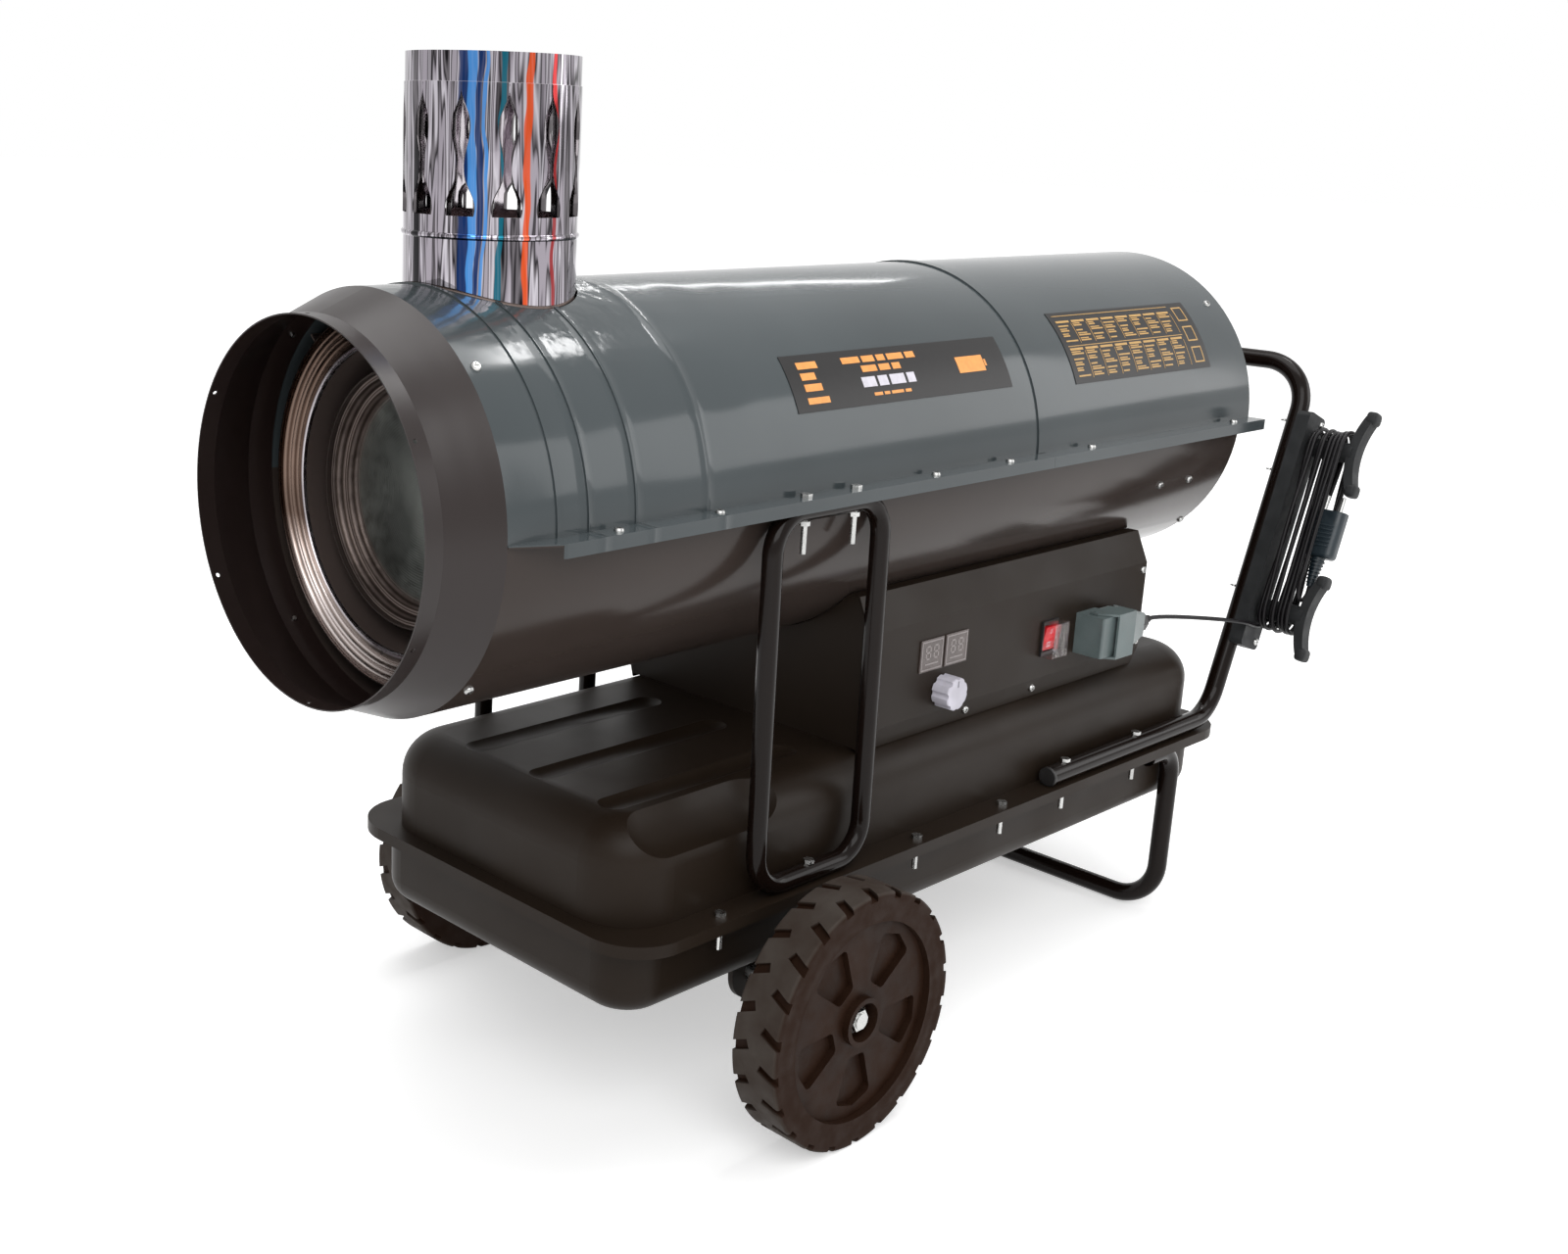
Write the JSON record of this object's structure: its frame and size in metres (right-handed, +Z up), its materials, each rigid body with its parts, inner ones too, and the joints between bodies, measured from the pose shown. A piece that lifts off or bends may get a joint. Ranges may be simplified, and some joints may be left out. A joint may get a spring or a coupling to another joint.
{
  "type": "indirect fired heater",
  "caption": "Wheeled oil-fired space heater: drum with flared outlet and upright flue over a fuel tank, control housing with dial and switch, push handle with wound mains cable.",
  "frame": {"origin": "on the floor under the middle of the heater's length and width", "axes": "+X from the air outlet towards the handle, -Y the control side, +Z up"},
  "size_m": [1.3624, 0.58, 0.974],
  "materials": {
    "casing_paint": "glossy dark grey paint",
    "shell_paint": "glossy dark brown-grey paint",
    "cone_paint": "satin near-black heat paint",
    "tank_paint": "satin black powder coat",
    "tube_gloss": "gloss black paint",
    "stainless_mirror": "mirror-bright stainless",
    "heat_steel": "heat-tinted ridged stainless",
    "dish_steel": "greenish-grey steel",
    "dark_steel": "dull dark steel",
    "zinc": "bright zinc plating",
    "motor_alloy": "cast alloy",
    "brass": "bright brass",
    "tyre_rubber": "matte black-brown rubber",
    "hub_plastic": "moulded black-brown plastic",
    "store_plastic": "dark grey moulded plastic",
    "cord_black": "black cable sheath",
    "plug_plastic": "dark navy moulded plastic",
    "connector_grey": "grey-green moulded plastic",
    "hood_grey": "light grey moulded plastic",
    "knob_grey": "light grey plastic",
    "display_plastic": "smoked display window",
    "switch_red": "red translucent rocker",
    "black_plastic": "black plastic",
    "clear_cover": "clear soft cover",
    "label_film": "black printed film",
    "board_green": "green circuit board"
  },
  "bodies": {
    "heater": {"outlet_cone": "cone_paint", "casing_upper_front": "casing_paint", "casing_upper_rear": "casing_paint", "casing_lower": "shell_paint", "casing_screws": "zinc", "label_plates": "label_film", "intake_guard": "tube_gloss", "flue_pipe": "stainless_mirror", "heat_exchanger": "heat_steel", "exchanger_front_ring": "heat_steel", "combustion_chamber": "dark_steel", "chamber_front": "dish_steel", "burner_tube": "dark_steel", "burner_nozzle": "brass", "ignition_electrodes": "zinc", "fan_motor": "motor_alloy", "motor_bracket": "dark_steel", "fuel_pump": "motor_alloy", "fuel_lines": "brass", "fuel_filter": "hood_grey", "tank_upper": "tank_paint", "tank_lower": "tank_paint", "fuel_gauge": "display_plastic", "drain_plug": "zinc", "control_panel": "tank_paint", "control_cover_far": "tank_paint", "housing_front_plate": "tank_paint", "housing_rear_plate": "tank_paint", "panel_screws": "zinc", "display_windows": "display_plastic", "control_board": "board_green", "ignition_transformer": "black_plastic", "switch_bezel": "black_plastic", "switch_cover": "clear_cover", "inlet_housing": "connector_grey", "connector_hood": "hood_grey", "cable_gland": "black_plastic", "side_frame_near": "tube_gloss", "side_frame_far": "tube_gloss", "handle_tube": "tube_gloss", "tube_end_plugs": "black_plastic", "foot_stand": "tube_gloss", "frame_bolts": "zinc", "axle": "zinc", "axle_hardware": "zinc", "cable_store": "store_plastic", "cord_free": "cord_black", "cord_winding": "cord_black", "mains_plug": "plug_plastic", "plug_pins": "zinc"},
    "wheel_near": {"tyre_near": "tyre_rubber", "wheel_hub_near": "hub_plastic"},
    "wheel_far": {"tyre_far": "tyre_rubber", "wheel_hub_far": "hub_plastic"},
    "fan_rotor": {"fan": "motor_alloy", "motor_shaft": "zinc"},
    "knob": {"temperature_knob": "knob_grey"},
    "rocker": {"switch_rocker": "switch_red"},
    "latch": {"latch_lever": "connector_grey"},
    "fuel_cap": {"filler_cap": "black_plastic"}
  },
  "joints": [
    {"name": "wheel_near_spin", "type": "hinge", "parent": "heater", "child": "wheel_near", "pos_m": [-0.25978, -0.2645, 0.126], "axis": [0, 1, 0], "continuous": true},
    {"name": "wheel_far_spin", "type": "hinge", "parent": "heater", "child": "wheel_far", "pos_m": [-0.25978, 0.2645, 0.126], "axis": [0, 1, 0], "continuous": true},
    {"name": "fan_spin", "type": "hinge", "parent": "heater", "child": "fan_rotor", "pos_m": [0.46832, 0, 0.604], "axis": [1, 0, 0], "continuous": true},
    {"name": "knob_turn", "type": "hinge", "parent": "heater", "child": "knob", "pos_m": [-0.00518, -0.165, 0.366], "axis": [0, -1, 0], "range_deg": [0, 270]},
    {"name": "rocker_tilt", "type": "hinge", "parent": "heater", "child": "rocker", "pos_m": [0.18782, -0.165, 0.389], "axis": [1, 0, 0], "range_deg": [-16, 0]},
    {"name": "latch_swing", "type": "hinge", "parent": "heater", "child": "latch", "pos_m": [0.25382, -0.1825, 0.385], "axis": [0, 0, -1], "range_deg": [0, 80]},
    {"name": "cap_turn", "type": "hinge", "parent": "heater", "child": "fuel_cap", "pos_m": [0.45882, 0.078, 0.337], "axis": [0, 0, 1], "range_deg": [0, 90]}
  ]
}
